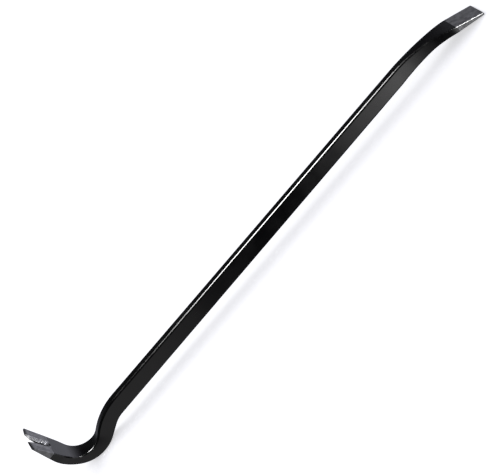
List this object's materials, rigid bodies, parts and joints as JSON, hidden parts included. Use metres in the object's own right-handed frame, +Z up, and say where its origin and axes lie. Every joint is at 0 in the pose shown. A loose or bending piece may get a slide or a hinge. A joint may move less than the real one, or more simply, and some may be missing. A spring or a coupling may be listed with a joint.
{
  "type": "pry bar",
  "caption": "Deep-section steel pry bar with a hooked, slotted nail claw, a rocker heel and a flared chisel end; black enamel with bare steel working ends.",
  "frame": {"origin": "on the bench under the middle of the bar, with the bar lying on its heel and its chisel tip", "axes": "+X along the shaft from the claw to the chisel, +Y across the width, +Z up, the way the claw hooks"},
  "size_m": [0.9, 0.058, 0.1115],
  "materials": {
    "black_enamel": "gloss",
    "bare_steel": "satin, dark scale with ground edges"
  },
  "bodies": {
    "root": {"left_tine": "bare_steel", "right_tine": "bare_steel", "claw_root": "bare_steel", "heel": "black_enamel", "gooseneck": "black_enamel", "shaft": "black_enamel", "chisel_neck": "black_enamel", "chisel_blade": "bare_steel"}
  },
  "joints": []
}
